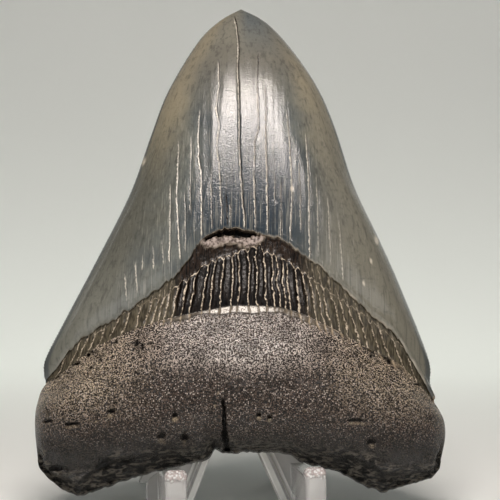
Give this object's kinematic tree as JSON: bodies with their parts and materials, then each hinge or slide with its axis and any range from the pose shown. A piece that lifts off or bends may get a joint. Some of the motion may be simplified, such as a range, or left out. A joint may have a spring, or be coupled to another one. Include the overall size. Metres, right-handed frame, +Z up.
{
  "type": "fossil shark tooth on display stand",
  "caption": "Large fossil shark tooth with a cracked grey enamel crown, dark ribbed band and rough brown root, leaning on a small clear plastic easel.",
  "frame": {"origin": "middle of the footprint of the whole, on the table it stands on", "axes": "+Z up, towards the tip of the tooth; -Y towards the viewer, the side of the inner face; +X to the viewer's right"},
  "size_m": [0.096, 0.0628, 0.1217],
  "materials": {
    "fossil_tooth": "polished enamel crown, rough sugary root",
    "clear_plastic": "clear moulded, glossy"
  },
  "bodies": {
    "root": {"tooth": "fossil_tooth", "display_stand": "clear_plastic"}
  },
  "joints": []
}
